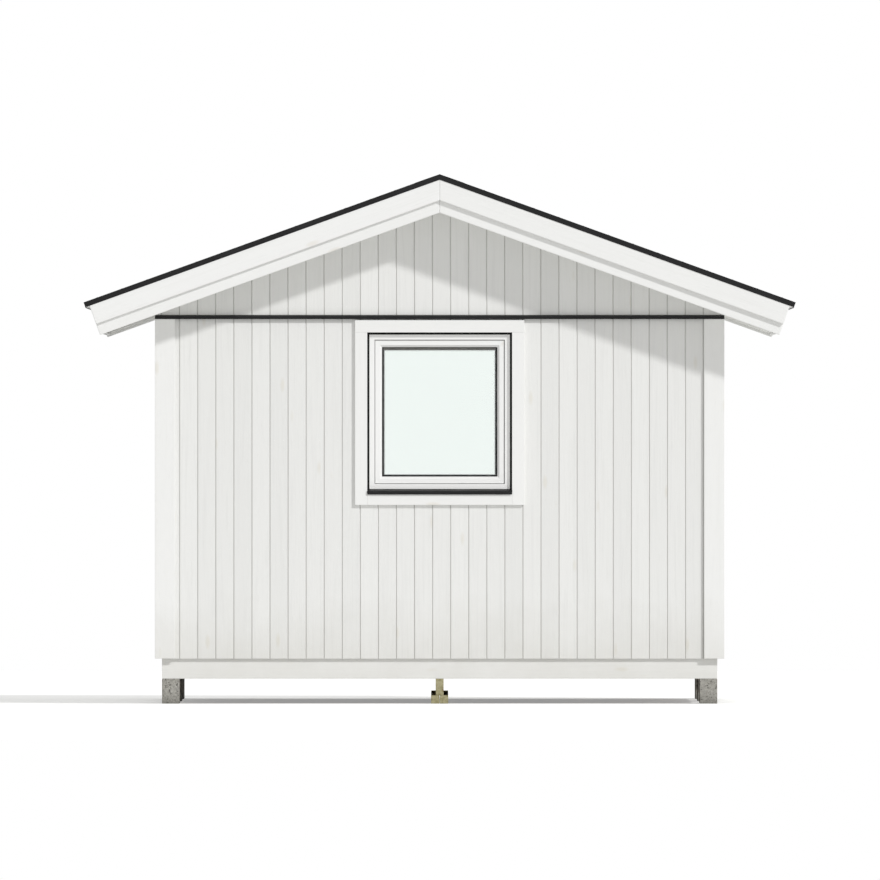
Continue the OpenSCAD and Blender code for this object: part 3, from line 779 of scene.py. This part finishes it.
def ceiling(side, name):
    """Matched boards under one slope, from the ridge to the eave, seen as ceiling and as soffit."""
    low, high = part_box("roof_panel_" + name)
    place = slope_place(side)
    start = SOFFIT * math.tan(PITCH)
    joints = np.append(np.arange(start, PANEL_L - 40 * MM, CEILING_BOARD), PANEL_L)
    outlines = []
    for i, (a, b) in enumerate(zip(joints[:-1], joints[1:])):
        across, depth = board_ring(a, b, SOFFIT, SOFFIT - 15 * MM, 2.5 * MM)
        ends = [np.stack([across, depth, np.full(8, y)], 1) for y in (low.y, high.y)]
        outlines.append((ends[0], ends[1], 1200 + i + 60 * (side > 0)))
    s = np.array([0.0, PANEL_L, PANEL_L, 0.0])
    d = np.array([PANEL_TOP, PANEL_TOP, SOFFIT - 14 * MM, SOFFIT - 14 * MM])
    s[0], s[3] = d[0] * math.tan(PITCH), d[3] * math.tan(PITCH)
    core = [np.stack([s, d, np.full(4, y)], 1) for y in (low.y + 1 * MM, high.y - 1 * MM)]
    outlines.append((core[0], core[1], 1400))
    return prisms(outlines, place, "roof_panel_" + name + "_boarded", lining_paint,
                  replaces=("roof_panel_" + name,), shown=(SOFFIT,))


def shingles(side, name):
    """Felt shingles in courses with staggered tabs, on an underlay.

    A tab is a thin wedge: its upper end lies on the underlay and its butt on the course below.
    """
    low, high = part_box("roofing_" + name)
    place = slope_place(side)
    own = np.random.default_rng(5 + side)
    slot_gap = 6 * MM
    under_top = FELT_TOP + 3.9 * MM
    base = np.array([[under_top * math.tan(PITCH), under_top], [SHEET_L, under_top],
                     [SHEET_L, BOARDS_TOP], [BOARDS_TOP * math.tan(PITCH), BOARDS_TOP]])
    outlines = [tuple(np.column_stack([base, np.full(4, y)]) for y in (low.y, high.y)) + (2000,)]
    courses = int(math.ceil((SHEET_L - 10 * MM) / COURSE))
    for k in range(courses):
        butt = SHEET_L - k * COURSE
        upper = max(butt - COURSE - 40 * MM, 10 * MM)
        reach = min((butt - upper) / (COURSE + 40 * MM), 1.0)
        edges = np.arange(low.y - (k % 2) * TAB / 2, high.y, TAB)
        for j, y in enumerate(edges):
            y0, y1 = max(y + slot_gap / 2, low.y), min(y + TAB - slot_gap / 2, high.y)
            if y1 - y0 < 15 * MM:
                continue
            lift, slip = own.uniform(0, 0.5) * MM, own.uniform(-1.2, 1.2) * MM
            end = min(butt + slip, SHEET_L)
            top_butt = FELT_TOP + 0.6 * MM - lift
            top_upper = top_butt + 3.2 * MM * reach
            s = np.array([upper, end - 1 * MM, end, end, upper])
            d = np.array([top_upper, top_butt, top_butt + 0.7 * MM, top_butt + SHINGLE, top_upper + SHINGLE])
            ends = [np.column_stack([s, d, np.full(5, yy)]) for yy in (y0, y1)]
            outlines.append((ends[0], ends[1], 2001 + k * 40 + j + 1000 * (side > 0)))
    return prisms(outlines, place, "felt_shingles_" + name, felt,
                  replaces=("roofing_" + name,))


def ridge_shingles():
    """Bent felt pieces over the ridge, each lapping the one before.

    The cross-section is a hyperbola: height falls with the root of x squared plus a small radius squared.
    """
    low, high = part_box("ridge_cap")
    own = np.random.default_rng(11)
    x = np.linspace(low.x, high.x, 13)
    radius = 10 * MM
    outlines = []
    pieces = int(round((high.y - low.y) / COURSE))
    step = (high.y - low.y) / pieces
    for k in range(pieces):
        y0, y1 = low.y + k * step, min(low.y + (k + 1.35) * step, high.y)
        ends = []
        for y, sink in ((y0, 0.3 * MM), (y1, 0.3 * MM + 2.2 * MM * (y1 - y0) / (1.35 * step))):
            fall = math.tan(PITCH) * (np.sqrt(x ** 2 + radius ** 2) - 0.55 * radius)
            top = RIDGE_Z - fall - sink / math.cos(PITCH)
            section = np.concatenate([np.stack([x, top], 1), np.stack([x[::-1], top[::-1] - 3.4 * MM], 1)])
            ends.append(np.column_stack([section, np.full(len(section), y)]))
        outlines.append((ends[0], ends[1], 4000 + k + int(own.integers(0, 500))))
    return prisms(outlines, lambda u, d, y: np.stack([u, y, d], -1), "ridge_shingles", felt,
                  replaces=("ridge_cap",))


def roof_nails():
    """Flat clout nails along the flashing at both verges and both eaves."""
    low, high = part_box("edge_flashing_right")
    centres, normals = [], []
    for side in (-1, 1):
        place = slope_place(side)
        normal = np.array([side * math.sin(PITCH), 0, math.cos(PITCH)])
        along = np.arange(120 * MM, SHEET_L - 60 * MM, 150 * MM)
        for y in (low.y + 70 * MM, high.y - 70 * MM):
            spots = place(along, np.zeros(len(along)), y)
            centres.append(spots)
            normals.append(np.tile(normal, (len(spots), 1)))
        ys = np.arange(low.y + 160 * MM, high.y - 120 * MM, 150 * MM)
        spots = place(np.full(len(ys), SHEET_L - 20 * MM), np.zeros(len(ys)), 0)
        spots[:, 1] = ys
        centres.append(spots)
        normals.append(np.tile(normal, (len(spots), 1)))
    return heads("flashing_nails", np.concatenate(centres), np.concatenate(normals), 5 * MM, 1.4 * MM,
                 black_steel)


for slope_side, slope_name in ((-1, "left"), (1, "right")):
    ceiling(slope_side, slope_name)
    shingles(slope_side, slope_name)
    softened("roof_boards_" + slope_name, trim_paint, 1 * MM, 1)
    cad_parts["edge_flashing_" + slope_name].data.materials.clear()
    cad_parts["edge_flashing_" + slope_name].data.materials.append(black_steel)
ridge_shingles()
roof_nails()

for node_name in ("gable_drip_strips", "window_sills"):
    softened(node_name, black_steel, 0.8 * MM, 1)


# ---------------------------------------------------------------- windows

def window_parts():
    """Every window, wall by wall. The first one stands for the CAD frames and sashes."""
    replaced = {"window_frames": ("window_frames",), "window_sashes": ("window_sashes",)}
    for side, wall in WALLS.items():
        for node, left, right, bottom, top in openings_in(wall):
            if node == "window_frames":
                window(side, wall, (left, right, bottom, top), replaced)


def window(side, wall, rect, replaced):
    """One window: frame, sash, pane spacer, seals, inside casing and latch.

    A profile's points say how far in from the rectangle's edge they are, and how deep in the wall.
    """
    left, right, bottom, top = rect
    near, far = found_box(wall, "window_frames", rect, close)[0]
    sash_near, sash_far = found_box(wall, "window_sashes", rect, inside)[0]
    panes = sorted(found_box(wall, "window_glass", rect, inside), key=lambda box: box[0][1])
    y0, y1 = near[1], far[1]
    s0, s1 = sash_near[1], sash_far[1]
    glass0, glass1 = panes[0][0][1], panes[-1][1][1]
    gap0, gap1 = panes[0][1][1], panes[-1][0][1]
    sash = (sash_near[0], sash_far[0], sash_near[2], sash_far[2])
    pane = (panes[0][0][0], panes[0][1][0], panes[0][0][2], panes[0][1][2])
    face = sash[0] - left - 3 * MM
    stop = face + 17 * MM
    inset = pane[0] - sash[0]
    bead = inset - 13 * MM
    moulding(side + "_window_frame", wall, [rect],
             eased([(0, y1), (0, y0), (face, y0), (face, s1), (stop, s1), (stop, y1)], 2.5 * MM),
             joinery_paint, replaces=replaced.pop("window_frames", ()))
    moulding(side + "_window_sash", wall, [sash],
             eased([(0, s1), (0, s0), (bead, s0), (inset, glass0 - 1.5 * MM), (inset, s1)], 2 * MM),
             joinery_paint, replaces=replaced.pop("window_sashes", ()))
    moulding(side + "_pane_spacer", wall, [pane],
             [(0, gap1), (0, gap0), (7 * MM, gap0), (7 * MM, gap1)], zinc)
    for label, d0, d1 in (("outer", glass0 - 4 * MM, glass0), ("inner", glass1, glass1 + 4 * MM)):
        moulding(f"{side}_pane_seal_{label}", wall, [pane],
                 eased([(0, d1), (0, d0), (3 * MM, d0), (5 * MM, d1)], 0.8 * MM), rubber)
    # black seal strip deep in the gap round the frame: a real seal, made black so the gap reads dark as
    # painted shade
    moulding(side + "_frame_seal_painted_shade", wall, [(left - REVEAL, right + REVEAL, bottom - SILL, top + REVEAL)],
             [(0, 8 * MM), (0, -1 * MM), (REVEAL, -1 * MM), (REVEAL, 8 * MM)], rubber)
    reach = 55 * MM
    deep = wall_t + LINING
    moulding(side + "_window_casing", wall, [(left - reach, right + reach, bottom - reach, top + reach)],
             eased([(0, deep), (0, deep + 14 * MM), (65 * MM, deep + 12 * MM), (65 * MM, y1), (58 * MM, y1),
                    (58 * MM, deep)], 2 * MM), joinery_paint)
    latch(side, wall, sash, s1)


def found_box(wall, node, rect, test):
    """The boxes of a node's solids that are in this wall and pass a test against a rectangle."""
    boxes = [wall.span(*box) for box in solid_boxes(node)]
    return [(near, far) for near, far in boxes
            if near[1] > -40 * MM and far[1] < 200 * MM and test(near, far, rect)]


def close(near, far, rect):
    """Whether a box in the wall's frame has this rectangle, to a millimetre."""
    return np.abs(np.subtract((near[0], far[0], near[2], far[2]), rect)).max() < 1 * MM


def inside(near, far, rect):
    """Whether a box in the wall's frame lies inside this rectangle."""
    return near[0] > rect[0] and far[0] < rect[1] and near[2] > rect[2] and far[2] < rect[3]


def latch(side, wall, sash, depth):
    """A small steel lever on the inside of the sash: a plate, a neck and an upright grip.

    Each block is half its width, its foot and head, and its near and far face, in mm.
    """
    u, z = sash[1] - 20 * MM, (sash[2] + sash[3]) / 2
    outlines = []
    for k, block in enumerate(((9, -28, 28, 0, 4), (6, -8, 8, 4, 22), (8, -8, 95, 22, 32))):
        half, z0, z1, d0, d1 = np.multiply(block, MM)
        ring = eased([(u - half, depth + d0), (u - half, depth + d1), (u + half, depth + d1),
                      (u + half, depth + d0)], 2.5 * MM)
        foot, head = [np.column_stack([ring, np.full(len(ring), z + end)]) for end in (z0, z1)]
        outlines.append((foot, head, 5000 + k))
    return prisms(outlines, wall.place, side + "_window_latch", steel)


window_parts()
repaint("window_glass", glass)


# ---------------------------------------------------------------- door

def door_leaf():
    """Boarded door: upright matched boards on both faces of a core, with the latch edge bevelled."""
    wall = WALLS["left"]
    near, far = wall.span(*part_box("door_leaf"))
    left, right = near[0], far[0]
    count = 8
    pitch = (right - left) / count
    v, outer, inner = 4.5 * MM, near[1], far[1]
    centre = (outer + inner) / 2
    outlines = []
    for i in range(count):
        a, b = left + i * pitch, left + (i + 1) * pitch
        bevel = 2 * MM if i == count - 1 else 0
        across = [a, a + v, b - v, b, b, b - bevel, b - v - bevel, a + v, a]
        depth = [outer + v, outer, outer, outer + v, centre, inner - v, inner, inner, inner - v]
        rings = [np.column_stack([across, depth, np.full(9, z)]) for z in (near[2], far[2])]
        outlines.append((rings[0], rings[1], 6000 + i))
    return prisms(outlines, wall.place, "boarded_door_leaf", joinery_paint, "door",
                  replaces=("door_leaf",), shown=(outer, inner), clean=(left, right))


def door_fittings():
    """Weather bar, threshold strip, lock cylinders and screws."""
    wall = WALLS["left"]
    near, far = wall.span(*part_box("door_leaf"))
    bar = eased([(near[1], 58 * MM), (near[1] - 6 * MM, 54 * MM), (near[1] - 24 * MM, 26 * MM),
                 (near[1] - 24 * MM, 20 * MM), (near[1] - 20 * MM, 20 * MM), (near[1] - 19 * MM, 27 * MM),
                 (near[1], 27 * MM)], 1.5 * MM)
    rings = [np.column_stack([np.full(len(bar), u), bar[:, 0], near[2] + bar[:, 1]])
             for u in (near[0] + 12 * MM, far[0] - 12 * MM)]
    prisms([(rings[0], rings[1], 6100)], wall.place, "door_weather_bar", steel, "door",
           along=0)
    frame_near, frame_far = wall.span(*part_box("door_frame"))
    jamb = 40 * MM
    top = near[2] - 6 * MM
    plate = eased([(near[1] - 14 * MM, -6 * MM), (near[1] - 14 * MM, 0.6 * MM), (near[1] + 6 * MM, 3 * MM),
                   (far[1] + 30 * MM, 3 * MM), (far[1] + 36 * MM, 0.2 * MM), (far[1] + 36 * MM, -1 * MM),
                   (near[1] - 8 * MM, -1 * MM), (near[1] - 8 * MM, -6 * MM)], 0.6 * MM)
    rings = [np.column_stack([np.full(len(plate), u), plate[:, 0], top + plate[:, 1]])
             for u in (frame_near[0] + jamb, frame_far[0] - jamb)]
    prisms([(rings[0], rings[1], 6101)], wall.place, "door_threshold_strip", steel, along=0)
    handle_near, handle_far = wall.span(*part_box("door_lock_plates"))
    centre = (handle_near[0] + handle_far[0]) / 2
    key_z = handle_near[2] + 62 * MM
    turn = np.linspace(0, 2 * np.pi, 20, endpoint=False)
    outlines = []
    for out in (handle_near[1], handle_far[1]):
        away = -1 if out < near[1] else 1
        for k, (r, d0, d1) in enumerate(((10.5 * MM, 0, 2.2 * MM), (8 * MM, 2.2 * MM, 4.5 * MM))):
            u, z = centre + r * np.cos(turn), key_z + r * np.sin(turn)
            foot, head = [np.column_stack([u, np.full(20, out + away * d), z]) for d in (d0, d1)]
            outlines.append((foot, head, 6110 + k))
    prisms(outlines, wall.place, "door_lock_cylinders", steel, "door")
    spots, directions = [], []
    for out, sign in ((handle_near[1], -1), (handle_far[1], 1)):
        for z in (handle_near[2] + 14 * MM, handle_far[2] - 14 * MM):
            spots.append(wall.place(np.array(centre), np.array(out), np.array(z)))
            directions.append(wall.place(np.array(0.0), np.array(wall.face + sign), np.array(0.0)))
    heads("door_plate_screws", spots, directions, 4 * MM, 1.4 * MM, steel, "door", 12)


door_leaf()
door_fittings()
softened("door_frame", joinery_paint, 2 * MM, 2)
softened("door_lock_plates", steel, 1.2 * MM, 2, "door")
softened("door_handle", steel, 2.5 * MM, 3, "handle")
repaint("door_hinge_pins", steel)
repaint("door_hinge_sleeves", steel)


# ---------------------------------------------------------------- nails

def cladding_nails():
    """Two nails a board at four heights on every wall, set clear of the openings and trim."""
    for side, wall in WALLS.items():
        near, far = wall.span(*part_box(side + "_cladding"))
        gable = side in ("front", "back")
        if gable:
            first = corner_low.x + first_joint_offset()
            edge = corner_high.x - first_joint_offset() + FIRST_JOINT
        else:
            first = near[0] + side_corner_width() + FIRST_JOINT
            edge = far[0] - side_corner_width()
        centres = np.arange(first + BOARD / 2, edge - 20 * MM, BOARD)
        across = np.concatenate([centres - 26 * MM, centres + 26 * MM])
        rows = [near[2] + 60 * MM, near[2] + 620 * MM, near[2] + 1240 * MM, STRIP_Z - 70 * MM]
        holes = [(left - 100 * MM, right + 100 * MM,
                  bottom - (110 * MM if node == "window_frames" else PAST_FLOOR), top + 100 * MM)
                 for node, left, right, bottom, top in openings_in(wall)]
        u, z = [part.ravel() for part in np.meshgrid(across, rows)]
        if gable:
            u = np.concatenate([u, across])
            z = np.concatenate([z, np.full(len(across), strip_high.z + 45 * MM)])
            fits = z < roof_under(u) - 25 * MM
            u, z = u[fits], z[fits]
        keep = np.ones(len(u), bool)
        for left, right, bottom, top in holes:
            keep &= ~((u > left) & (u < right) & (z > bottom) & (z < top))
        u, z = u[keep], z[keep]
        spots = wall.place(u, np.full(len(u), near[1]), z)
        out = wall.place(np.zeros(1), np.array([wall.face - 1]), np.zeros(1))
        heads(side + "_cladding_nails", spots, np.repeat(out, len(u), 0), 3.2 * MM, 0.8 * MM, cladding_paint)


cladding_nails()


# ---------------------------------------------------------------- studio

def studio():
    """Pale floor, white surroundings, soft key from the upper right, faint fill indoors, long lens.

    The surroundings are white where they are seen, and light the cabin at 0.57 of that.
    """
    bpy.ops.mesh.primitive_plane_add(size=60)
    ground = bpy.context.object
    ground.name = "studio_floor"
    ground.data.materials.append(pale_floor())

    world = bpy.data.worlds.new("studio")
    bpy.context.scene.world = world
    world.use_nodes = True
    tree = world.node_tree
    tree.nodes.clear()
    camera_ray = add(tree, "LightPath", None, "Is Camera Ray")
    rays = camera_ray.node.outputs
    seen = add(tree, "Math", {0: camera_ray, 1: rays["Is Glossy Ray"]}, operation="MAXIMUM")
    seen = add(tree, "Math", {0: seen, 1: rays["Is Transmission Ray"]}, operation="MAXIMUM")
    strength = add(tree, "MapRange", {"Value": seen, "To Min": 0.57, "To Max": 1.0})
    add(tree, "OutputWorld", {"Surface": add(tree, "Background", {"Color": "#ffffff", "Strength": strength})})

    key = bpy.data.lights.new("key", "SUN")
    key.energy = 1.75
    key.angle = math.radians(4)
    lamp = bpy.data.objects.new("key", key)
    bpy.context.scene.collection.objects.link(lamp)
    lamp.rotation_euler = Vector((-1.0, 1.0, -1.0)).to_track_quat("-Z", "Y").to_euler()

    fill = bpy.data.lights.new("room_fill", "POINT")
    fill.energy = 14
    fill.shadow_soft_size = 0.3
    bulb = bpy.data.objects.new("room_fill", fill)
    bpy.context.scene.collection.objects.link(bulb)
    bulb.location = (0, 0, 1.7)
    bulb.visible_camera = bulb.visible_glossy = bulb.visible_transmission = False

    camera = bpy.data.cameras.new("camera")
    camera.sensor_width = 36
    camera.lens = 1650
    eye = bpy.data.objects.new("camera", camera)
    bpy.context.scene.collection.objects.link(eye)
    shown_width, middle_x, middle_z = 5.007, 2 * MM, 1.5
    distance = shown_width * camera.lens / camera.sensor_width
    eye.location = (middle_x, front_low.y - distance, middle_z)
    eye.rotation_euler = (math.pi / 2, 0, 0)
    camera.clip_end = 1500
    bpy.context.scene.camera = eye
    bpy.context.scene.view_settings.view_transform = "Standard"


studio()
